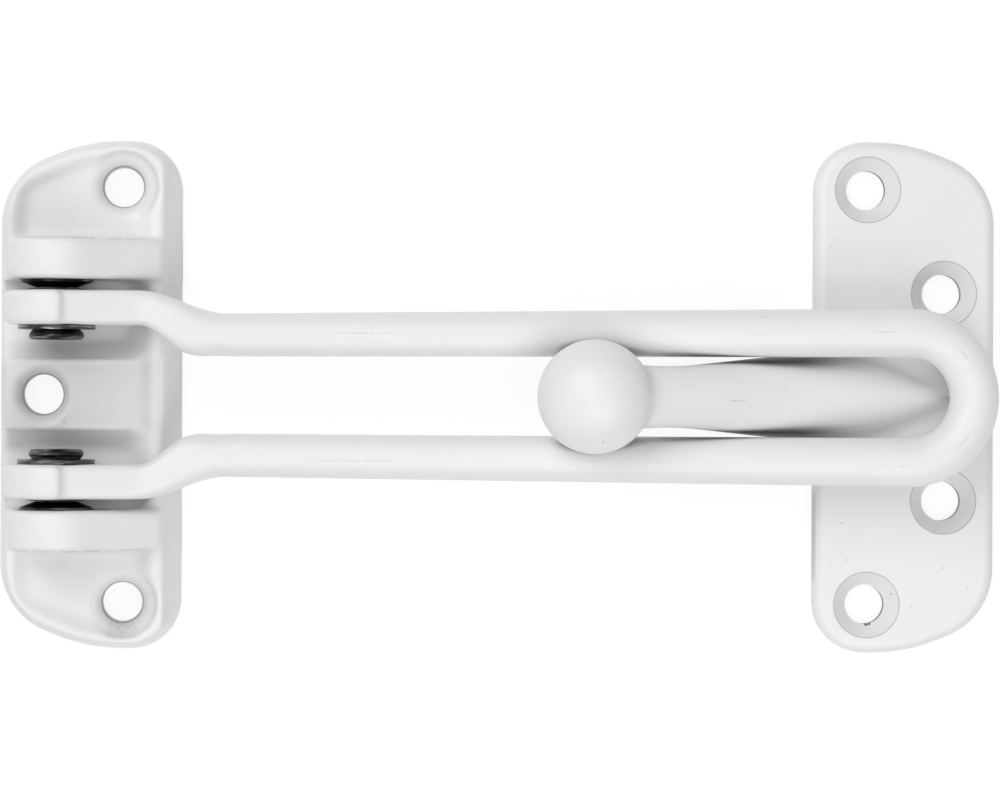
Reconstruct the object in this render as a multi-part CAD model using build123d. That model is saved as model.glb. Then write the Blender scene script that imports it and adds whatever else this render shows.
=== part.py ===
from build123d import *
import math
import os

# Swing bar door guard in millimetres, shown closed on the strike as it is sold.
# +X runs from the hinge bracket to the strike plate, +Y up the door edge and +Z out of the wall.
# The origin is the middle of the hinge bracket's back face.

# Mounting plates: outline with one straight side and one raked, rounded side, in shares of the plate's width
RAKE_SHARE = 0.485
RAKE_SLOPE = 0.4
RAKE_BLEND_SHARE = 0.97
RAKED_CORNER_SHARE = 0.4
STRAIGHT_CORNER_SHARE = 0.28
SCREW_HOLE_RADIUS = 2.7

# Hinge bracket
BRACKET_WIDTH = 24.8
BRACKET_LENGTH = 69.4
FLANK_DRAFT = 2.7
FLANK_STEP_INSET = 2.0
FLANK_STEP_HEIGHT = 4.4
FLANK_FOOT_HEIGHT = 0.8
FLANK_BLEND_RADIUS = 1.0
RIM_EDGE_RADIUS = 0.7
BRACKET_END_DRAFT = 1.1
BRACKET_END_HOLE_SETBACK = 8.0
BRACKET_END_HOLE_INSET = 6.5
BRACKET_MIDDLE_HOLE_INSET = 6.0
DISH_RADIUS = 4.4
DISH_DEPTH = 2.2
DISH_FLARE = 0.9
DISH_LIP_SLOPE = 0.3

# Hinge axis and its lugs
PIVOT_INSET = 8.1
PIVOT_HEIGHT = 9.75
KNUCKLE_RADIUS = 6.5
LUG_THICKNESS = 5.6
LUG_EDGE_RADIUS = 1.1
STOP_GAP = 0.45
BAY_CLEARANCE = 0.75

# End pads, middle land and the two bays that the bar's eyes swing in
PAD_DEPTH = 1.6
PAD_RIM = 0.8
PAD_SILL_WIDTH = 1.3
PAD_WALL_RUN = 2.0
PAD_FLOOR_SHARE = 0.1
LAND_HALF_WIDTH = 4.65
LAND_DROP = 0.9
LAND_SLOPE_RUN = 2.65
SILL_WIDTH = 1.5
PANEL_DEPTH = 0.35
PANEL_MARGIN = 0.7
PAD_CORNER_RADIUS = 3.0
PAD_BLEND_RADIUS = 12.0
PAD_RAKED_RADIUS = 4.2
BAY_LIP = 0.8
BAY_LIP_SLOPE = 0.7
BAY_END_RUN = 3.2
BAY_CORNER_RADIUS = 2.0
BAY_FLOOR_RADIUS = 1.0

# Swing bar
ARM_HALF_SPACING_HINGE = 8.07
ARM_HALF_SPACING_BEND = 8.75
ARM_RADIUS_HINGE = 2.9
ARM_RADIUS_BEND = 3.3
BAR_REACH = 135.0
ARM_START = 31.0
EYE_INNER_Y = 9.3
EYE_THICKNESS = 4.65
EYE_RADIUS = 7.15
EYE_BOSS_RADIUS = 3.9
EYE_BOSS_HEIGHT = 0.3
EYE_EDGE_RADIUS = 0.7
SHOULDER_OFFSET = 1.0
SHOULDER_DROP = 1.3
SHOULDER_RADIUS = 0.6
PADDLE_LENGTH = 10.7
PADDLE_END_HALF_HEIGHT = 3.0
PADDLE_SQUARENESS = 6.0
JOG_STEP = 0.1
JOG_INNER_SHARE = 0.66
JOG_ROUND_SHARE = 0.77
JOG_SECTIONS = 5

# Pivot pins and washers
PIN_RADIUS = 2.6
PIN_FIT = 0.02
PIVOT_CLEARANCE = 0.06
AXIAL_PLAY = 0.05
RIVET_NECK_RADIUS = 3.2
RIVET_HEAD_RADIUS = 3.7
RIVET_HEAD_HEIGHT = 1.35
RIVET_RIM_RADIUS = 0.35
RIVET_DIMPLE_RADIUS = 2.65
PIN_CHAMFER = 0.3
WASHER_FIT = 0.1
WASHER_RADIUS = 5.2
WASHER_THICKNESS = 0.55
SPRING_GAP = 1.15
SPRING_THICKNESS = 0.3
SPRING_RADIUS = 4.9

# Strike plate, its horn and ball
STRIKE_START = 111.3
STRIKE_WIDTH = 24.7
STRIKE_LENGTH = 70.0
STRIKE_THICKNESS = 3.0
STRIKE_EDGE_RADIUS = 1.5
STRIKE_OUTER_HOLE_SETBACK = 7.1
STRIKE_OUTER_HOLE_INSET = 6.6
STRIKE_INNER_HOLE_SETBACK = 17.6
STRIKE_INNER_HOLE_Y = 14.2
COUNTERSINK_RADIUS = 4.5
BALL_RADIUS = 7.6
BALL_X = 79.6
BALL_HEIGHT = 17.3
NECK_WIDTH_SHARE = 0.533
NECK_HEIGHT_SHARE = 0.579
NECK_BLEND_SHARE = 0.395
HORN_START = 4.0
HORN_END_INSET = 2.6
HORN_WIDE_INSET = 4.0
HORN_WIDE_HALF_WIDTH = 6.2
HORN_WIDE_HALF_HEIGHT = 5.6
HORN_END_HALF_WIDTH = 2.4
HORN_END_RISE = 0.6
HORN_POWER = 1.8
HORN_SWEEP = 1.3
ROOT_BLEND_RADIUS = 2.5
HORN_SECTIONS = 9

# How far cutting shapes run past the surface that they cut, and points on a smooth section
OVERCUT = 1.0
SECTION_POINTS = 12
STANDING = (Align.CENTER, Align.CENTER, Align.MIN)
ROOT_TOLERANCE = 0.05

# Values that follow from the sizes above
LEFT = -BRACKET_WIDTH / 2
PIVOT_X = LEFT + PIVOT_INSET
RIM_HEIGHT = PIVOT_HEIGHT - ARM_RADIUS_HINGE - STOP_GAP
PAD_HEIGHT = RIM_HEIGHT - PAD_DEPTH
LAND_HEIGHT = RIM_HEIGHT - LAND_DROP
BAY_FLOOR = PIVOT_HEIGHT - EYE_RADIUS - BAY_CLEARANCE
EYE_OUTER_Y = EYE_INNER_Y + EYE_THICKNESS
BEND_X = LEFT + BAR_REACH - ARM_RADIUS_BEND - ARM_HALF_SPACING_BEND
LUG_INNER_Y = EYE_OUTER_Y + EYE_BOSS_HEIGHT + SPRING_GAP
LUG_OUTER_Y = LUG_INNER_Y + LUG_THICKNESS
LUG_END = BRACKET_WIDTH - FLANK_DRAFT
LUG_FOOT_HEIGHT = RIM_HEIGHT + LUG_EDGE_RADIUS
STRIKE_LEFT = LEFT + STRIKE_START
STRIKE_RIGHT = STRIKE_LEFT + STRIKE_WIDTH
BALL_CENTRE_X = LEFT + BALL_X
NECK_HALF_WIDTH = NECK_WIDTH_SHARE * BALL_RADIUS
NECK_HALF_HEIGHT = NECK_HEIGHT_SHARE * BALL_RADIUS


def plate_outline(raked_x, straight_x, length, height, raked_inset=0.0, straight_inset=0.0, end_inset=0.0):
    """Face of a mounting plate at one height, drawn in from the full outline by the insets."""
    way = math.copysign(1.0, straight_x - raked_x)
    width = abs(straight_x - raked_x)
    half = length / 2 - end_inset
    rake_inset = end_inset * math.hypot(1.0, RAKE_SLOPE)
    corner_y = length / 2 - RAKE_SHARE * width * RAKE_SLOPE - rake_inset + raked_inset * RAKE_SLOPE
    break_run = RAKE_SHARE * width + (rake_inset - end_inset) / RAKE_SLOPE
    run = [
        (straight_inset, half, STRAIGHT_CORNER_SHARE * width - end_inset),
        (width - break_run, half, RAKE_BLEND_SHARE * width - end_inset),
        (width - raked_inset, corner_y, RAKED_CORNER_SHARE * width - end_inset),
    ]
    upper = [(straight_x - way * u, v, r) for u, v, r in run]
    lower = [(x, -v, r) for x, v, r in reversed(upper)]
    corners = upper + lower
    outline = FilletPolyline(
        *[(x, v, height) for x, v, r in corners], radius=[r for x, v, r in corners], close=True
    )
    return make_face(outline)


def drafted_block(x0, x1, y0, y1, z0, z1, run_x0=0.0, run_x1=0.0, run_y0=0.0, run_y1=0.0):
    """Tool that widens by each run as it rises from z0 to z1."""
    low = Polyline((x0, y0, z0), (x1, y0, z0), (x1, y1, z0), (x0, y1, z0), close=True)
    a0, a1, b0, b1 = x0 - run_x0, x1 + run_x1, y0 - run_y0, y1 + run_y1
    high = Polyline((a0, b0, z1), (a1, b0, z1), (a1, b1, z1), (a0, b1, z1), close=True)
    return loft([make_face(low), make_face(high)], ruled=True)


def both_sides(shape):
    """The shape above the centre line together with its mirror image below it."""
    return shape + mirror(shape, about=Plane.XZ)


def pivot_cylinder(radius, y0, y1):
    """Cylinder on the hinge axis between two distances from the centre line."""
    face = Plane.XZ.offset(-y0) * Pos(PIVOT_X, PIVOT_HEIGHT) * Circle(radius)
    return extrude(face, -(y1 - y0))


def turned_on_pivot(outline):
    """Solid turned round the hinge axis from an outline of radius against distance along the axis."""
    section = Plane((PIVOT_X, 0, PIVOT_HEIGHT)) * make_face(outline)
    return revolve(section, Axis((PIVOT_X, 0, PIVOT_HEIGHT), (0, 1, 0)))


def lug():
    """Upper hinge lug: a knuckle round the hinge axis that slopes down to the sill, with softened edges."""
    reach = LEFT + LUG_END - PIVOT_X
    fall = PIVOT_HEIGHT - LUG_FOOT_HEIGHT
    distance = math.hypot(reach, fall)
    tangent = math.asin(KNUCKLE_RADIUS / distance) + math.atan2(fall, reach)
    touch_x = PIVOT_X + KNUCKLE_RADIUS * math.sin(tangent)
    touch_z = PIVOT_HEIGHT + KNUCKLE_RADIUS * math.cos(tangent)
    halfway = (tangent - math.pi / 2) / 2
    left = PIVOT_X - KNUCKLE_RADIUS
    end_x = BRACKET_WIDTH / 2 + OVERCUT
    end_z = touch_z - (end_x - touch_x) * math.tan(tangent)
    side = Polyline((touch_x, touch_z), (end_x, end_z), (end_x, 0), (left, 0), (left, PIVOT_HEIGHT))
    knuckle = ThreePointArc(
        (left, PIVOT_HEIGHT),
        (PIVOT_X + KNUCKLE_RADIUS * math.sin(halfway), PIVOT_HEIGHT + KNUCKLE_RADIUS * math.cos(halfway)),
        (touch_x, touch_z),
    )
    face = Plane.XZ.offset(-LUG_INNER_Y) * make_face(side + knuckle)
    block = extrude(face, -LUG_THICKNESS)
    faces = block.faces().sort_by(Axis.Y)
    crest = [e for face in (faces[0], faces[-1]) for e in face.edges() if e.center().Z > RIM_HEIGHT]
    return fillet(crest, LUG_EDGE_RADIUS)


def draft_flank(block):
    """Cut the long sloping flank that falls from the sill to the wall on the strike's side."""
    right = BRACKET_WIDTH / 2
    over = (LUG_FOOT_HEIGHT + OVERCUT) / RIM_HEIGHT
    step_x = right - FLANK_STEP_INSET
    crest_x = step_x - (FLANK_DRAFT - FLANK_STEP_INSET) * over
    profile = FilletPolyline(
        (right, 0), (right, FLANK_FOOT_HEIGHT), (step_x, FLANK_STEP_HEIGHT), (crest_x, RIM_HEIGHT * over),
        radius=FLANK_BLEND_RADIUS,
    )
    outside = Polyline(
        (crest_x, RIM_HEIGHT * over), (right + OVERCUT, RIM_HEIGHT * over), (right + OVERCUT, 0), (right, 0)
    )
    return block - extrude(Plane.XZ * make_face(profile + outside), BRACKET_LENGTH, both=True)


def pad_outline(height, inset):
    """Outline of the sunken upper pad, drawn in from the bracket's full outline and running up to the lug."""
    half = BRACKET_LENGTH / 2 - inset
    grown = inset - BRACKET_END_DRAFT - PAD_RIM
    rake_inset = inset * math.hypot(1.0, RAKE_SLOPE)
    left = LEFT + inset
    break_x = LEFT + RAKE_SHARE * BRACKET_WIDTH + (rake_inset - inset) / RAKE_SLOPE
    corner_y = BRACKET_LENGTH / 2 - RAKE_SHARE * BRACKET_WIDTH * RAKE_SLOPE - rake_inset + inset * RAKE_SLOPE
    sill_x = LEFT + LUG_END - PAD_SILL_WIDTH - grown
    ledge_y = LUG_OUTER_Y - PAD_CORNER_RADIUS
    corners = [
        (sill_x, half, PAD_CORNER_RADIUS - grown),
        (break_x, half, PAD_BLEND_RADIUS - grown),
        (left, corner_y, PAD_RAKED_RADIUS - grown),
    ]
    ends = [(sill_x, ledge_y), (left, ledge_y)]
    curve = FilletPolyline(
        (*ends[0], height), *[(x, y, height) for x, y, r in corners], (*ends[1], height),
        radius=[r for x, y, r in corners],
    )
    return make_face(curve + Polyline((*ends[1], height), (*ends[0], height)))


def pad_pocket():
    """Tool for the soft sunken pad round the upper screw hole."""
    low_inset = BRACKET_END_DRAFT + PAD_RIM + PAD_WALL_RUN
    over = 1.0 + OVERCUT / PAD_DEPTH
    floor = pad_outline(PAD_HEIGHT, low_inset)
    mouth = pad_outline(PAD_HEIGHT + PAD_DEPTH * over, low_inset - PAD_WALL_RUN * over)
    beyond_lug = Pos(0, LUG_OUTER_Y, PAD_HEIGHT + PAD_DEPTH / 2) * Box(
        2 * BRACKET_WIDTH, BRACKET_LENGTH, 2 * RIM_HEIGHT, align=(Align.CENTER, Align.MIN, Align.CENTER)
    )
    pocket = loft([floor, mouth], ruled=True) & beyond_lug
    floor_radius = PAD_FLOOR_SHARE * (BRACKET_LENGTH / 2 - LUG_OUTER_Y)
    return fillet(pocket.faces().sort_by(Axis.Z)[0].outer_wire().edges(), floor_radius)


def bay():
    """Tool for the upper bay, where the eye of the bar turns clear of the casting."""
    depth = RIM_HEIGHT - BAY_FLOOR + OVERCUT
    sill_x = LEFT + LUG_END - SILL_WIDTH
    land_slope = LAND_SLOPE_RUN / (LAND_HEIGHT - BAY_FLOOR)
    hollow = drafted_block(
        LEFT + BAY_LIP, sill_x - BAY_END_RUN, LAND_HALF_WIDTH + LAND_SLOPE_RUN, LUG_INNER_Y,
        BAY_FLOOR, BAY_FLOOR + depth,
        run_x0=depth * BAY_LIP_SLOPE, run_x1=BAY_END_RUN * depth / (depth - OVERCUT),
        run_y0=depth * land_slope,
    )
    rising = hollow.edges().filter_by(lambda e: e.bounding_box().size.Z > depth / 2)
    corner = rising.filter_by(lambda e: e.center().X > PIVOT_X)
    hollow = fillet(corner, BAY_CORNER_RADIUS)
    return fillet(hollow.faces().sort_by(Axis.Z)[0].outer_wire().edges(), BAY_FLOOR_RADIUS)


def land():
    """Tool that lowers the middle land below the sill and sinks its panel."""
    sill_x = LEFT + LUG_END - SILL_WIDTH
    width = LAND_HALF_WIDTH + LAND_SLOPE_RUN
    top = drafted_block(
        LEFT - OVERCUT, sill_x - LAND_DROP, -width, width, LAND_HEIGHT, RIM_HEIGHT + OVERCUT,
        run_x1=LAND_DROP + OVERCUT,
    )
    edge = LAND_HALF_WIDTH - PANEL_MARGIN
    panel_start = LEFT + BRACKET_MIDDLE_HOLE_INSET + SCREW_HOLE_RADIUS
    panel = drafted_block(
        panel_start, sill_x - LAND_DROP - PANEL_MARGIN, -edge, edge,
        LAND_HEIGHT - PANEL_DEPTH, LAND_HEIGHT + OVERCUT,
        0, PANEL_DEPTH + OVERCUT, PANEL_DEPTH + OVERCUT, PANEL_DEPTH + OVERCUT,
    )
    return top + panel


def dished_hole(x, y, face_height):
    """Tool for a screw hole whose seat is a soft dish, rounded like a bell and open to above the sill."""
    seat = face_height - DISH_DEPTH
    top = RIM_HEIGHT + OVERCUT
    bell = Spline(
        (DISH_RADIUS, face_height), (SCREW_HOLE_RADIUS, seat),
        tangents=[(-1, -DISH_LIP_SLOPE), (-DISH_LIP_SLOPE, -1)],
    )
    rest = Polyline(
        (SCREW_HOLE_RADIUS, seat), (SCREW_HOLE_RADIUS, -OVERCUT), (0, -OVERCUT), (0, top),
        (DISH_RADIUS + DISH_FLARE, top), (DISH_RADIUS, face_height),
    )
    return Pos(x, y, 0) * revolve(Plane.XZ * make_face(bell + rest), Axis.Z)


def hinge_bracket():
    """Cast bracket: drafted base, sunken pads, middle land, two bays and two hinge lugs."""
    right = BRACKET_WIDTH / 2
    foot = plate_outline(LEFT, right, BRACKET_LENGTH, 0)
    rim = plate_outline(
        LEFT, right, BRACKET_LENGTH, RIM_HEIGHT, BRACKET_END_DRAFT, BRACKET_END_DRAFT, BRACKET_END_DRAFT
    )
    block = loft([foot, rim], ruled=True)
    block = fillet(block.faces().sort_by(Axis.Z)[-1].outer_wire().edges(), RIM_EDGE_RADIUS)
    block -= both_sides(pad_pocket())
    block -= both_sides(bay())
    block -= land()
    casting = draft_flank(block + both_sides(lug()))
    end_hole_x = right - BRACKET_END_HOLE_SETBACK
    end_hole_y = BRACKET_LENGTH / 2 - BRACKET_END_HOLE_INSET
    casting -= both_sides(dished_hole(end_hole_x, end_hole_y, PAD_HEIGHT))
    casting -= dished_hole(LEFT + BRACKET_MIDDLE_HOLE_INSET, 0, LAND_HEIGHT)
    casting -= both_sides(pivot_cylinder(PIN_RADIUS + PIN_FIT, EYE_OUTER_Y, LUG_OUTER_Y + OVERCUT))
    return casting


def superellipse(centre, across, up, half_width, half_height, power):
    """Closed smooth outline, rounder with a power of 2 and squarer above it."""
    points = []
    for step in range(SECTION_POINTS):
        angle = 2 * math.pi * step / SECTION_POINTS
        c, s = math.cos(angle), math.sin(angle)
        u = half_width * math.copysign(abs(c) ** (2 / power), c)
        v = half_height * math.copysign(abs(s) ** (2 / power), s)
        points.append(centre + across * u + up * v)
    return Spline(*points, periodic=True)


def blend(a, b, t):
    """Value between a and b that leaves and arrives level."""
    return a + (b - a) * t * t * (3 - 2 * t)


def arm_jog():
    """Forged stretch of the upper arm, from the flat paddle out to the round rod."""
    start_x = PIVOT_X + PADDLE_LENGTH
    end_x = LEFT + ARM_START
    outlines = []
    for step in range(JOG_SECTIONS):
        t = step / (JOG_SECTIONS - 1)
        x = start_x + (end_x - start_x) * t
        inner_t = min(1, t / JOG_INNER_SHARE)
        outer = blend(EYE_OUTER_Y - JOG_STEP, ARM_HALF_SPACING_HINGE + ARM_RADIUS_HINGE, t)
        inner = blend(EYE_INNER_Y + JOG_STEP, ARM_HALF_SPACING_HINGE - ARM_RADIUS_HINGE, inner_t)
        outlines.append(
            superellipse(
                Vector(x, (outer + inner) / 2, PIVOT_HEIGHT), Vector(0, 1, 0), Vector(0, 0, 1),
                (outer - inner) / 2,
                blend(PADDLE_END_HALF_HEIGHT - JOG_STEP, ARM_RADIUS_HINGE, t),
                blend(PADDLE_SQUARENESS, 2, min(1, t / JOG_ROUND_SHARE)),
            )
        )
    return loft([make_face(outline) for outline in outlines])


def rod_section(x, y, radius):
    """Round section across the arm."""
    centre = Vector(x, y, PIVOT_HEIGHT)
    return make_face(superellipse(centre, Vector(0, 1, 0), Vector(0, 0, 1), radius, radius, 2.0))


def arm_rod():
    """Round upper arm, which thickens slightly and spreads on its way to the bend."""
    near = rod_section(LEFT + ARM_START, ARM_HALF_SPACING_HINGE, ARM_RADIUS_HINGE)
    far = rod_section(BEND_X, ARM_HALF_SPACING_BEND, ARM_RADIUS_BEND)
    return loft([near, far], ruled=True)


def bend():
    """Half ring that joins the two arms at the strike end."""
    section = rod_section(BEND_X, ARM_HALF_SPACING_BEND, ARM_RADIUS_BEND)
    return revolve(section, Axis((BEND_X, 0, PIVOT_HEIGHT), (0, 0, -1)), 180)


def paddle():
    """Flat end of the upper arm: the eye round the pivot, its shoulder and the tapering neck."""
    drop_x = PIVOT_X + SHOULDER_OFFSET
    drop_z = PIVOT_HEIGHT + EYE_RADIUS - SHOULDER_DROP
    end_x = PIVOT_X + PADDLE_LENGTH
    top_end = PIVOT_HEIGHT + PADDLE_END_HALF_HEIGHT
    low_end = PIVOT_HEIGHT - PADDLE_END_HALF_HEIGHT
    neck = Polyline(
        (PIVOT_X, drop_z), (drop_x, drop_z), (end_x, top_end), (end_x, low_end),
        (drop_x, PIVOT_HEIGHT - EYE_RADIUS + SHOULDER_DROP), (PIVOT_X, PIVOT_HEIGHT), close=True,
    )
    head = Pos(PIVOT_X, PIVOT_HEIGHT) * Circle(EYE_RADIUS)
    beyond = Pos(drop_x, PIVOT_HEIGHT) * Rectangle(
        2 * EYE_RADIUS, 2 * EYE_RADIUS, align=(Align.MIN, Align.MIN)
    )
    profile = (head - beyond) + make_face(neck)
    notches = [v for v in profile.vertices() if abs(v.X - drop_x) < SHOULDER_OFFSET / 2]
    profile = fillet(notches, SHOULDER_RADIUS)
    plate = extrude(Plane.XZ.offset(-EYE_INNER_Y) * profile, -EYE_THICKNESS)
    sides = plate.faces().filter_by(Axis.Y)
    rims = [e for face in sides for e in face.outer_wire().edges()]
    rounded = [e for e in rims if e.center().X < end_x - EYE_EDGE_RADIUS]
    plate = fillet(rounded, EYE_EDGE_RADIUS)
    boss_face = Plane.XZ.offset(-EYE_OUTER_Y) * Pos(PIVOT_X, PIVOT_HEIGHT) * Circle(EYE_BOSS_RADIUS)
    boss = extrude(boss_face, -EYE_BOSS_HEIGHT)
    return plate + boss


def swing_bar():
    """One-piece cast bar: two arms, the bend that joins them and an eye on each end."""
    arm = paddle() + arm_jog() + arm_rod()
    arm -= pivot_cylinder(PIN_RADIUS + PIVOT_CLEARANCE, 0, LUG_OUTER_Y)
    return both_sides(arm) + bend()


def pivot_pin():
    """Upper pivot pin: shank pressed into the lug, its inner end spread into a rivet head."""
    head_y = EYE_INNER_Y - AXIAL_PLAY - WASHER_THICKNESS
    tip_y = head_y - RIVET_HEAD_HEIGHT
    rim_y = tip_y + 2 * RIVET_RIM_RADIUS
    end_y = LUG_OUTER_Y - PIN_CHAMFER
    outline = Polyline(
        (0, tip_y + RIVET_RIM_RADIUS), (RIVET_DIMPLE_RADIUS, tip_y + RIVET_RIM_RADIUS),
        (RIVET_DIMPLE_RADIUS + RIVET_RIM_RADIUS, tip_y), (RIVET_HEAD_RADIUS - RIVET_RIM_RADIUS, tip_y),
        (RIVET_HEAD_RADIUS, tip_y + RIVET_RIM_RADIUS), (RIVET_HEAD_RADIUS, rim_y),
        (RIVET_NECK_RADIUS, head_y), (PIN_RADIUS, head_y),
        (PIN_RADIUS, end_y - PIN_CHAMFER), (PIN_RADIUS - PIN_CHAMFER, end_y), (0, end_y), close=True,
    )
    return turned_on_pivot(outline)


def flat_washer():
    """Upper flat washer between the eye of the bar and the rivet head."""
    inner_y = EYE_INNER_Y - AXIAL_PLAY - WASHER_THICKNESS
    disc = pivot_cylinder(WASHER_RADIUS, inner_y, inner_y + WASHER_THICKNESS)
    return disc - pivot_cylinder(PIN_RADIUS + WASHER_FIT, 0, LUG_OUTER_Y)


def spring_washer():
    """Upper dished spring washer that gives the hinge its drag, between the eye and the lug."""
    low_y = EYE_OUTER_Y + EYE_BOSS_HEIGHT + AXIAL_PLAY
    high_y = LUG_INNER_Y - AXIAL_PLAY / 2
    inner = PIN_RADIUS + WASHER_FIT
    outline = Polyline(
        (inner, low_y), (inner, low_y + SPRING_THICKNESS), (SPRING_RADIUS, high_y),
        (SPRING_RADIUS, high_y - SPRING_THICKNESS), close=True,
    )
    return turned_on_pivot(outline)


def countersunk_hole(x, y):
    """Tool for a conical countersunk screw hole through the strike plate."""
    seat = STRIKE_THICKNESS - (COUNTERSINK_RADIUS - SCREW_HOLE_RADIUS)
    cone_height = STRIKE_THICKNESS - seat + OVERCUT
    hole = Pos(x, y, -OVERCUT) * Cylinder(SCREW_HOLE_RADIUS, STRIKE_THICKNESS + OVERCUT, align=STANDING)
    return hole + Pos(x, y, seat) * Cone(
        SCREW_HOLE_RADIUS, COUNTERSINK_RADIUS + OVERCUT, cone_height, align=STANDING
    )


def horn():
    """Swept horn: rises from the plate as a ridge, widens between the arms and narrows to a round neck."""
    start_x = BALL_CENTRE_X + HORN_START
    end_x = STRIKE_RIGHT - HORN_END_INSET
    neck_x = BALL_CENTRE_X + BALL_RADIUS
    wide_x = STRIKE_LEFT + HORN_WIDE_INSET
    end_top = STRIKE_THICKNESS + HORN_END_RISE
    outlines = []
    for step in range(HORN_SECTIONS):
        x = start_x + (end_x - start_x) * step / (HORN_SECTIONS - 1)
        rise = ((end_x - x) / (end_x - BALL_CENTRE_X)) ** HORN_SWEEP
        top = end_top + (BALL_HEIGHT + NECK_HALF_HEIGHT - end_top) * rise
        widening = min(1.0, max(0.0, (x - neck_x) / (wide_x - neck_x)))
        narrowing = max(0.0, (x - wide_x) / (end_x - wide_x))
        half_width = blend(NECK_HALF_WIDTH, HORN_WIDE_HALF_WIDTH, widening)
        half_width -= blend(0.0, HORN_WIDE_HALF_WIDTH - HORN_END_HALF_WIDTH, narrowing)
        half_height = blend(NECK_HALF_HEIGHT, HORN_WIDE_HALF_HEIGHT, widening)
        outlines.append(
            superellipse(
                Vector(x, 0, top - half_height), Vector(0, 1, 0), Vector(0, 0, 1),
                half_width, half_height, blend(2.0, HORN_POWER, widening),
            )
        )
    whole = loft([make_face(outline) for outline in outlines])
    below = Pos(end_x, 0, 0) * Box(
        2 * STRIKE_LENGTH, STRIKE_LENGTH, STRIKE_LENGTH, align=(Align.CENTER, Align.CENTER, Align.MAX)
    )
    return whole - below


def strike_plate():
    """One-piece cast strike: plate with four screw holes, swept horn and ball."""
    plate = extrude(plate_outline(STRIKE_RIGHT, STRIKE_LEFT, STRIKE_LENGTH, 0), STRIKE_THICKNESS)
    plate = fillet(plate.faces().sort_by(Axis.Z)[-1].outer_wire().edges(), STRIKE_EDGE_RADIUS)
    stem = horn() + Pos(BALL_CENTRE_X, 0, BALL_HEIGHT) * Sphere(BALL_RADIUS)
    ball_face = stem.faces().filter_by(GeomType.SPHERE)[0]
    stem = fillet(ball_face.edges().filter_by(GeomType.BSPLINE), NECK_BLEND_SHARE * BALL_RADIUS)
    casting = plate + stem
    curved = casting.edges().filter_by(GeomType.BSPLINE)
    level = [e for e in curved if abs(e.center().Z - STRIKE_THICKNESS) < ROOT_TOLERANCE]
    root = [e for e in level if abs(e.center().Y) < HORN_WIDE_HALF_WIDTH + OVERCUT]
    casting = fillet(root, ROOT_BLEND_RADIUS)
    outer_x = STRIKE_LEFT + STRIKE_OUTER_HOLE_SETBACK
    outer_y = STRIKE_LENGTH / 2 - STRIKE_OUTER_HOLE_INSET
    inner_x = STRIKE_LEFT + STRIKE_INNER_HOLE_SETBACK
    casting -= both_sides(countersunk_hole(outer_x, outer_y))
    casting -= both_sides(countersunk_hole(inner_x, STRIKE_INNER_HOLE_Y))
    return casting


def main():
    os.makedirs("parts", exist_ok=True)
    parts = {"hinge_bracket": hinge_bracket(), "swing_bar": swing_bar(), "strike_plate": strike_plate()}
    small = {"pivot_pin": pivot_pin, "flat_washer": flat_washer, "spring_washer": spring_washer}
    for name, make in small.items():
        parts[f"upper_{name}"] = make()
        parts[f"lower_{name}"] = mirror(make(), about=Plane.XZ)
    for name, shape in parts.items():
        shape.label = name
        export_step(shape, f"parts/{name}.step")


main()
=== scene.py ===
import math

import bmesh
import bpy
from mathutils import Euler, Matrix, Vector


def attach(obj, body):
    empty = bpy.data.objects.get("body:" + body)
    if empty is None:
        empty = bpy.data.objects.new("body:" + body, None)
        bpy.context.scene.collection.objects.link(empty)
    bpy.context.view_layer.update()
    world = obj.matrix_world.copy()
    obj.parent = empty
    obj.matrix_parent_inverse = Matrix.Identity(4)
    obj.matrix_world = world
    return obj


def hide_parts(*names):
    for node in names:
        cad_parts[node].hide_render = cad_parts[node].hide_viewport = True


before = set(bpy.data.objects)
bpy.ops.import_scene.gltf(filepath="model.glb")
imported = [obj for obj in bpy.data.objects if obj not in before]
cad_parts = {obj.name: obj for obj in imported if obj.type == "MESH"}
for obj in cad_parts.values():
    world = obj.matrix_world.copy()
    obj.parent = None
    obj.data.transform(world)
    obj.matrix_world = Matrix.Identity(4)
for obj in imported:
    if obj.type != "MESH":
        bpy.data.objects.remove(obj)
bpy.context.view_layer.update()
scene = bpy.context.scene
scene.view_settings.view_transform = "Standard"

# Camera
# Straight down on the closed guard through a long lens, as in the photograph. It stands over the bar's
# left third, so that the ball and the horn lean a little to the right.
CAMERA_PLACE = (0.0218, 0.0015, 0.467)
CAMERA_ROLL = math.radians(0.23)
CAMERA_LEAN = -0.0318

camera_data = bpy.data.cameras.new("camera")
camera_data.sensor_width = 36.0
camera_data.lens = 122.73
camera_data.shift_x = 0.14
camera_data.shift_y = -0.016
camera_data.clip_end = 20.0
camera = bpy.data.objects.new("camera", camera_data)
camera.location = CAMERA_PLACE
roll = Euler((0, 0, CAMERA_ROLL)).to_matrix()
lean = Euler((0, CAMERA_LEAN, 0)).to_matrix()
camera.rotation_euler = (roll @ lean).to_euler()
scene.collection.objects.link(camera)
scene.camera = camera

# Studio
# A pale sheet under the guard, an even sky, and soft lamps above its upper left, its lower right and its
# middle. The sheet looks white to the camera and in reflections, and still takes the guard's shadow.
SHEET_SIZE = 3.0
SHEET_PLACE = (0.05, 0.0, -0.00005)
SHEET_SHADE = 0.8
SEEN_SHADE = 0.16
SEEN_GLOW = 0.87
SKY_STRENGTH = 0.385
LAMP_AIM = (0.03, 0.0, 0.0)


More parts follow.
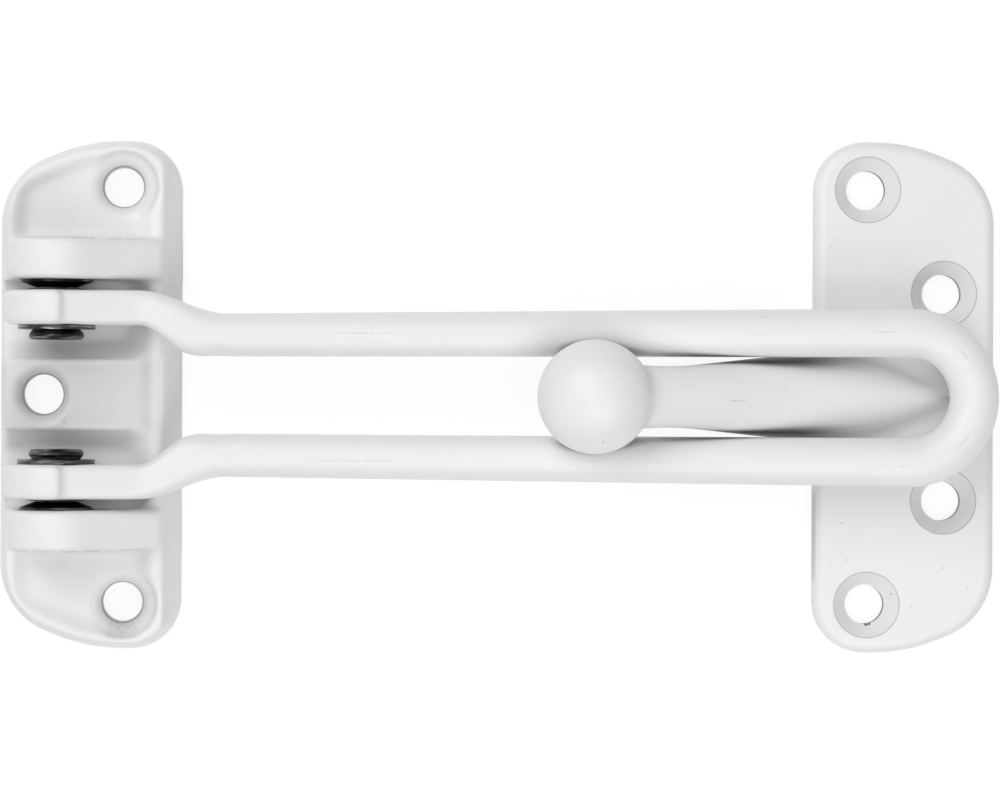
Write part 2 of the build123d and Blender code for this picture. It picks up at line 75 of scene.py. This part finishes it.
class Value:
    """A socket in a material. Arithmetic on it adds Math nodes."""

    def __init__(self, tree, socket):
        self.tree = tree
        self.socket = socket

    def node(self, kind, settings=None, inputs=None, output=0):
        """Adds a node to the same material, and gives one of its outputs."""
        made = self.tree.nodes.new(kind)
        for name, setting in (settings or {}).items():
            setattr(made, name, setting)
        for name, given in (inputs or {}).items():
            socket = made.inputs[name]
            if isinstance(given, Value):
                self.tree.links.new(given.socket, socket)
            else:
                socket.default_value = given
        return Value(self.tree, made.outputs[output])

    def beside(self, output):
        """Another output of the node that this socket is on."""
        return Value(self.tree, self.socket.node.outputs[output])

    def math(self, operation, *others):
        return self.node("ShaderNodeMath", {"operation": operation}, dict(enumerate((self, *others))))

    def clamped(self, top=1.0):
        """The value, kept between 0 and the top."""
        return self.math("MINIMUM", top).math("MAXIMUM", 0.0)

    def __add__(self, other):
        return self.math("ADD", other)

    def __radd__(self, other):
        return self.math("ADD", other)

    def __sub__(self, other):
        return self.math("SUBTRACT", other)

    def __rsub__(self, other):
        return self.math("MULTIPLY_ADD", -1.0, other)

    def __mul__(self, other):
        return self.math("MULTIPLY", other)

    def __rmul__(self, other):
        return self.math("MULTIPLY", other)

    def __truediv__(self, other):
        return self.math("DIVIDE", other)


def new_material(name):
    """An empty material, its output node and the Object coordinates that its patterns read."""
    material = bpy.data.materials.new(name)
    material.use_nodes = True
    tree = material.node_tree
    tree.nodes.clear()
    output = tree.nodes.new("ShaderNodeOutputMaterial")
    place = Value(tree, tree.nodes.new("ShaderNodeTexCoord").outputs["Object"])
    return material, output, place


def opaque(shade):
    """The colour of one grey shade."""
    return (shade, shade, shade, 1.0)


sheet_material, sheet_output, sheet_place = new_material("pale_sheet")
rays = sheet_place.node("ShaderNodeLightPath")
seen = rays.beside("Is Camera Ray").math("MAXIMUM", rays.beside("Is Glossy Ray"))
paper = rays.node("ShaderNodeBsdfDiffuse", None, {"Color": opaque(SHEET_SHADE)})
lit = rays.node("ShaderNodeBsdfDiffuse", None, {"Color": opaque(SEEN_SHADE)})
glow = rays.node("ShaderNodeEmission", None, {"Color": opaque(1.0), "Strength": SEEN_GLOW})
white = rays.node("ShaderNodeAddShader", None, {0: lit, 1: glow})
sheet_surface = rays.node("ShaderNodeMixShader", None, {0: seen, 1: paper, 2: white})
sheet_surface.tree.links.new(sheet_surface.socket, sheet_output.inputs["Surface"])

sheet_mesh = bpy.data.meshes.new("sheet")
shape = bmesh.new()
bmesh.ops.create_grid(shape, x_segments=1, y_segments=1, size=SHEET_SIZE)
shape.to_mesh(sheet_mesh)
shape.free()
sheet = bpy.data.objects.new("sheet", sheet_mesh)
sheet_mesh.materials.append(sheet_material)
sheet.location = SHEET_PLACE
scene.collection.objects.link(sheet)

world = bpy.data.worlds.new("studio")
world.use_nodes = True
scene.world = world
sky = world.node_tree.nodes["Background"]
sky.inputs["Color"].default_value = opaque(1.0)
sky.inputs["Strength"].default_value = SKY_STRENGTH


def softbox(name, place, size, power):
    """Square lamp aimed at the guard."""
    lamp_data = bpy.data.lights.new(name, "AREA")
    lamp_data.size = size
    lamp_data.energy = power
    lamp = bpy.data.objects.new(name, lamp_data)
    lamp.location = place
    lamp.rotation_euler = (Vector(LAMP_AIM) - Vector(place)).to_track_quat("-Z", "Y").to_euler()
    scene.collection.objects.link(lamp)


softbox("upper_left_softbox", (-0.35, 0.5, 0.65), 0.6, 3.3)
softbox("lower_right_softbox", (0.13, -0.29, 0.34), 0.33, 0.75)
softbox("overhead_softbox", (-0.1, 0.02, 0.85), 0.7, 1.25)

# Hinge bracket
# One zinc casting with sunken pads, a land, two bays and two lugs, baked white with polyester powder.
# The powder rounds every edge and corner over, is faintly rippled, and leaves a thin line where the die
# parted. Sizes are in metres, and a span is a middle and the reach to either side of it.
BRACKET_VOXEL = 0.00028
BRACKET_SMOOTHING = 5
BRACKET_CREVICE_REACH = 0.0018
BRACKET_FOOT = 0.0012
PAD_ROUNDING = 16
PAD_START = 0.0205
FLANK_START = 0.0035
BAY_ROUNDING = 34
BAY_TOP = 0.0078
BAY_SIDES = (0.0048, 0.0123)
BRACKET_HOLE_RADIUS = 0.0027
BRACKET_HOLES = [(0.0044, 0.0282), (-0.0064, 0.0)]
HOLE_MARGIN = 0.0006
HOLE_RIM_OFFSET = 0.00008
HOLE_RIM_REACH = 0.0002
LUG_EDGE_ACROSS = (0.0208, 0.00014)
LUG_EDGE_ALONG = (-0.0012, 0.0094)
LUG_EDGE_FOOT = 0.0055
SMUDGE_ACROSS = (0.0045, 0.0023)
SMUDGE_UP = (-0.0318, 0.0012)
BRACKET_SPECKS = [(5.9, -34.6, 0.3, 0.36), (-6.1, -35.0, 5.5, 0.12)]
LAND_UP = (0.0, 0.0053)
LAND_ALONG = (-0.002, 0.0115)
COAT_SHADE = 0.82
COAT_CLOUDING = 0.035
COAT_WARMTH = 0.997
DIRT_AND_SHADE_DARKENING = 0.8
PAINTED_SHADE_DARKENING = 0.45
CREVICE_SHADE_START = 0.51
CREVICE_SHADE_RISE = 5.0
CREVICE_SHADE_TOP = 1.15
CREVICE_SAMPLES = 16
SHORT_FADE = 0.4
SPOT_SHARPNESS = 3.0
PATCH_SHARPNESS = 12.0


def noise(place, scale, detail):
    return place.node("ShaderNodeTexNoise", None, {"Vector": place, "Scale": scale, "Detail": detail})


def powder_coat(name, crevice_reach, find_dirt_and_shade, find_painted_shade=None):
    """White coat on one casting. The first function gives where it is dirty or carries painted shade, and the
    second, if given, where it carries further painted shade, from 0 to 1.

    Painted shade also darkens deep crevices, which ambient occlusion finds.
    """
    coat, coat_output, place = new_material(name)
    cloud = noise(place, 60.0, 3.0)
    grit = noise(place, 1500.0, 2.0)
    peel = noise(place, 700.0, 1.0)
    open_sky = place.node(
        "ShaderNodeAmbientOcclusion", {"samples": CREVICE_SAMPLES}, {"Distance": crevice_reach}, "AO"
    )
    # Painted shade: deep crevices, where ambient occlusion finds little open sky, get a darker base colour.
    crevice_shade = ((CREVICE_SHADE_START - open_sky) * CREVICE_SHADE_RISE).clamped(CREVICE_SHADE_TOP)
    dirt_and_shade = find_dirt_and_shade(place).math("MAXIMUM", crevice_shade)
    shade = (COAT_SHADE + COAT_CLOUDING * cloud) * (1 - DIRT_AND_SHADE_DARKENING * dirt_and_shade)
    # Further painted shade, from the second function, darkens the coat more.
    if find_painted_shade is not None:
        shade = shade * (1 - PAINTED_SHADE_DARKENING * find_painted_shade(place))
    tint = place.node(
        "ShaderNodeCombineColor", None, {"Red": shade, "Green": shade, "Blue": shade * COAT_WARMTH}
    )
    bump = place.node(
        "ShaderNodeBump", None, {"Height": peel + 0.15 * grit, "Strength": 0.12, "Distance": 0.0002}
    )
    surface = place.node(
        "ShaderNodeBsdfPrincipled", None,
        {"Base Color": tint, "Roughness": 0.34 + 0.12 * cloud, "Normal": bump},
    )
    surface.tree.links.new(surface.socket, coat_output.inputs["Surface"])
    return coat


def axes(place):
    """The three coordinates of a place on the surface, in metres."""
    parts = place.node("ShaderNodeSeparateXYZ", None, {"Vector": place})
    return [parts.beside(axis) for axis in ("X", "Y", "Z")]


def near(value, target, reach):
    """1 where the value is at the target, falling to 0 at the reach on either side."""
    gap = (value - target).math("ABSOLUTE")
    return (1 - gap / reach).math("MAXIMUM", 0.0)


def most(marks):
    """The strongest of several marks at each place."""
    found, *others = marks
    for mark in others:
        found = found.math("MAXIMUM", mark)
    return found


def spots(place, centres):
    """Small round marks, each given by its centre and radius in millimetres."""
    found = []
    for x, y, z, radius in centres:
        centre = (x / 1000, y / 1000, z / 1000)
        away = place.node("ShaderNodeVectorMath", {"operation": "DISTANCE"}, {0: place, 1: centre}, "Value")
        found.append((SPOT_SHARPNESS - away * (SPOT_SHARPNESS * 1000 / radius)).clamped())
    return most(found)


def broken(place, size, keep):
    """Patches that break a line up, covering about the share that is kept."""
    return ((noise(place, 1 / size, 2.0) - (1 - keep)) * PATCH_SHARPNESS).clamped()


def rims(x, y, centres, radius, reach):
    """Thin rings about a line of holes, which the casting has above and below its middle."""
    found = []
    for centre_x, centre_y in centres:
        across = x - centre_x
        up = y.math("ABSOLUTE") - centre_y
        found.append(near((across * across + up * up).math("SQRT"), radius, reach))
    return most(found)


def bracket_dirt_and_shade(place):
    """The die's line on the lugs, a smudge and specks by the lower hole, and painted shade at the holes'
    rims.
    """
    x, y, z = axes(place)
    lug_edge = near(y.math("ABSOLUTE"), *LUG_EDGE_ACROSS) * near(x, *LUG_EDGE_ALONG).math("POWER", SHORT_FADE)
    crease = 0.5 * (lug_edge * broken(place, 0.0017, 0.58) * z.math("GREATER_THAN", LUG_EDGE_FOOT))
    smudge = 0.36 * (near(x, *SMUDGE_ACROSS) * near(y, *SMUDGE_UP)).math("POWER", SHORT_FADE)
    smudge = smudge * (0.5 + 0.5 * broken(place, 0.0005, 0.5))
    specks = spots(place, BRACKET_SPECKS)
    # Painted shade: a dark ring where each hole's wall is seen in shade.
    hole_rim_shade = 0.85 * rims(x, y, BRACKET_HOLES, BRACKET_HOLE_RADIUS + HOLE_RIM_OFFSET, HOLE_RIM_REACH)
    return most([crease, smudge, specks, hole_rim_shade])


def bracket_land_shade(place):
    """Painted shade on the land between the bays."""
    x, y, _ = axes(place)
    return 0.36 * (near(y, *LAND_UP) * 4.0).math("MINIMUM", 1.0) * near(x, *LAND_ALONG).math("POWER", 0.15)


def softened(node_name, piece_name, voxel, rounds):
    """The casting's CAD shape with an even skin whose edges are rounded over a little."""
    shape = bmesh.new()
    shape.from_mesh(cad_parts[node_name].data)
    bmesh.ops.remove_doubles(shape, verts=shape.verts, dist=1e-6)
    mesh = bpy.data.meshes.new(piece_name)
    shape.to_mesh(mesh)
    shape.free()
    piece = bpy.data.objects.new(piece_name, mesh)
    scene.collection.objects.link(piece)
    skin = piece.modifiers.new("even_skin", "REMESH")
    skin.mode = "VOXEL"
    skin.voxel_size = voxel
    skin.use_smooth_shade = True
    soften = piece.modifiers.new("rounded_by_powder", "SMOOTH")
    soften.factor = 0.5
    soften.iterations = rounds
    ready = piece.evaluated_get(bpy.context.evaluated_depsgraph_get())
    piece.data = bpy.data.meshes.new_from_object(ready)
    piece.modifiers.clear()
    piece.data.materials.clear()
    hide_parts(node_name)
    return piece


def rubbed_round(piece, chosen, rounds):
    """Rounds the skin over further where a place on it is chosen."""
    shape = bmesh.new()
    shape.from_mesh(piece.data)
    skin = [vert for vert in shape.verts if chosen(vert.co)]
    for _ in range(rounds):
        bmesh.ops.smooth_vert(
            shape, verts=skin, factor=0.5, use_axis_x=True, use_axis_y=True, use_axis_z=True
        )
    shape.to_mesh(piece.data)
    shape.free()


def on_pads_or_flank(at):
    clear = all(
        math.hypot(at.x - hole_x, abs(at.y) - hole_y) > BRACKET_HOLE_RADIUS + HOLE_MARGIN
        for hole_x, hole_y in BRACKET_HOLES
    )
    return at.z > BRACKET_FOOT and clear and (abs(at.y) > PAD_START or at.x > FLANK_START)


def in_a_bay(at):
    return BRACKET_FOOT < at.z < BAY_TOP and BAY_SIDES[0] < abs(at.y) < BAY_SIDES[1]


bracket = softened("hinge_bracket", "bracket_casting", BRACKET_VOXEL, BRACKET_SMOOTHING)
rubbed_round(bracket, on_pads_or_flank, PAD_ROUNDING)
rubbed_round(bracket, in_a_bay, BAY_ROUNDING)
bracket.data.materials.append(
    powder_coat("bracket_powder_coat", BRACKET_CREVICE_REACH, bracket_dirt_and_shade, bracket_land_shade)
)
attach(bracket, "bracket")

# Swing bar
# One casting under the same coat, rounded over where the rods run into the flat eyes. The halves of its
# die met along the top of the rods and round the bend, which shows as a few faint broken marks.
BAR_VOXEL = 0.0003
BAR_SMOOTHING = 4
BAR_CREVICE_REACH = 0.004
EYE_END = 0.0115
EYE_SMOOTHING = 14
EYE_BORE_SIDE = 0.0028
PIN_PLACE = (-0.0043, 0.00975)
ROD_TOP = 0.0115
ARM_MARKS = [
    (0.0366, 0.0044, 0.00836), (0.0353, 0.0063, -0.0087), (0.1065, 0.0027, 0.0088), (0.1090, 0.0006, -0.0092),
]
ARM_MARK_REACH = 0.00013
BEND_CENTRE = 0.11055
BEND_MARK_RADIUS = 0.0089
BEND_MARK_REACH = 0.00014
BEND_MARK_AHEAD = (0.0067, 0.0016)
BAR_SPECKS = [(90.13, 10.75, 12.13, 0.13)]


def bar_dirt(place):
    """The die's line, which a mark's middle, half length and height give on an arm, and one speck."""
    x, y, z = axes(place)
    on_arms = most([
        near(x, middle, half_length).math("POWER", SHORT_FADE) * near(y, height, ARM_MARK_REACH)
        for middle, half_length, height in ARM_MARKS
    ])
    ahead = x - BEND_CENTRE
    from_centre = (ahead * ahead + y * y).math("SQRT")
    round_bend = near(from_centre, BEND_MARK_RADIUS, BEND_MARK_REACH) * near(ahead, *BEND_MARK_AHEAD)
    line = most([on_arms, round_bend]) * z.math("GREATER_THAN", ROD_TOP)
    faint = 0.27 * (line * broken(place, 0.0009, 0.62))
    return most([faint, 0.5 * spots(place, BAR_SPECKS)])


def on_an_eye(at):
    from_pin = math.hypot(at.x - PIN_PLACE[0], at.z - PIN_PLACE[1])
    return at.x < EYE_END and from_pin > EYE_BORE_SIDE


swing_bar = softened("swing_bar", "bar_casting", BAR_VOXEL, BAR_SMOOTHING)
rubbed_round(swing_bar, on_an_eye, EYE_SMOOTHING)
swing_bar.data.materials.append(powder_coat("bar_powder_coat", BAR_CREVICE_REACH, bar_dirt))
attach(swing_bar, "bar")

# Strike plate
# One casting: plate, horn and ball under the same coat. The rims of the screw seats carry a fine grey ring of
# painted shade, and their cones a fainter painted shade. Handling has left chips and specks.
STRIKE_CREVICE_REACH = 0.0065
SEATS = [(0.106, 0.0284), (0.1165, 0.0142)]
SEAT_RIM = (0.0045, 0.00013)
SEAT_CONE = (0.0036, 0.0009)
RIDGE_ACROSS = (-0.0005, 0.00012)
RIDGE_ALONG = (0.0867, 0.0013)
RIDGE_FOOT = 0.01
WALL_ACROSS = (0.0989, 0.0003)
WALL_ALONG = (-0.0192, 0.0062)
WALL_TOP = 0.0024
CHIPS = [
    (110.26, 34.63, 2.13, 0.2), (111.24, 34.5, 2.07, 0.16), (67.81, -5.91, 22.03, 0.16),
    (101.9, 21.52, 3.0, 0.11), (100.94, 20.56, 3.0, 0.09), (102.6, -17.19, 3.0, 0.12),
    (103.17, -22.25, 3.0, 0.12), (116.52, -23.31, 3.0, 0.12), (112.14, -28.52, 3.0, 0.11),
    (119.84, -25.91, 3.0, 0.1), (109.51, -26.93, 2.31, 0.16),
]
BLACK_MARKS = [(106.25, -31.14, 1.3, 0.34), (106.72, -31.12, 1.3, 0.22)]


def strike_seat_shade(place):
    """Painted shade: a ring at the rims of the screw seats, and fainter shade on their cones."""
    x, y, _ = axes(place)
    # Painted shade at the seats' rims and, faintly, on their cones.
    return most([rims(x, y, SEATS, *SEAT_RIM), 0.1 * rims(x, y, SEATS, *SEAT_CONE).math("POWER", 0.2)])


def strike_dirt_and_shade(place):
    """Chips, black marks in the lower seat, the die's line on the horn and painted shade along the left wall.
    """
    x, y, z = axes(place)
    ridge = near(y, *RIDGE_ACROSS) * near(x, *RIDGE_ALONG).math("POWER", SHORT_FADE)
    ridge = ridge * z.math("GREATER_THAN", RIDGE_FOOT)
    # Painted shade along the foot of the plate's left wall.
    left_wall_shade = near(x, *WALL_ACROSS) * near(y, *WALL_ALONG).math("POWER", 0.25) * z.math("LESS_THAN", WALL_TOP)
    chips = 0.6 * spots(place, CHIPS)
    faint_ridge = 0.5 * (ridge * broken(place, 0.0006, 0.62))
    return most([chips, spots(place, BLACK_MARKS), faint_ridge, 0.4 * left_wall_shade])


strike_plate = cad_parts["strike_plate"]
strike_plate.data.materials.clear()
strike_plate.data.materials.append(
    powder_coat("strike_powder_coat", STRIKE_CREVICE_REACH, strike_dirt_and_shade, strike_seat_shade)
)

# Pivot pins and washers
# Plain mild steel, turned or stamped, darkened by old oil. The spring washers in the gaps by the lugs are
# darker still, partly oil and partly painted shade, and bright streaks round the pin are partly rubbed wear
# and partly painted highlights.
STREAK_LENGTH = 0.12
STREAK_SCALE = 2900.0
STREAK_SHARPNESS = 5.0


def old_steel(name, dark, bright):
    """Steel between a dark shade and the shade of its bright streaks, which are partly rubbed wear and partly
    painted highlights.
    """
    steel, steel_output, place = new_material(name)
    x, y, z = axes(place)
    across = x - PIN_PLACE[0]
    up = z - PIN_PLACE[1]
    away = (across * across + up * up).math("SQRT")
    turned = place.node("ShaderNodeCombineXYZ", None, {"X": away, "Y": y, "Z": across * STREAK_LENGTH})
    smear = noise(turned, STREAK_SCALE, 2.0)
    # Painted highlight, in part: the bright streaks in the base colour stand for glints on the turned steel
    # as well as rubbed wear.
    rubbed_and_highlit = ((smear - 0.5) * STREAK_SHARPNESS).clamped()
    shade = dark + (bright - dark) * rubbed_and_highlit
    steel_colour = place.node(
        "ShaderNodeCombineColor", None, {"Red": shade, "Green": shade * 0.98, "Blue": shade * 0.96}
    )
    metal = place.node(
        "ShaderNodeBsdfPrincipled", None,
        {"Base Color": steel_colour, "Metallic": 1.0, "Roughness": 0.22 + 0.2 * smear},
    )
    metal.tree.links.new(metal.socket, steel_output.inputs["Surface"])
    return steel


finishes = {
    "pivot_pin": old_steel("rivet_steel", 0.045, 0.4),
    "flat_washer": old_steel("washer_steel", 0.1, 0.6),
    # Painted shade, in part: the spring washers sit in the dark gaps by the lugs and are made darker than the
    # other steel.
    "spring_washer": old_steel("oily_and_gap_shaded_steel", 0.03, 0.2),
}
for name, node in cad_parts.items():
    for ending, finish in finishes.items():
        if name.endswith(ending):
            node.data.materials.clear()
            node.data.materials.append(finish)
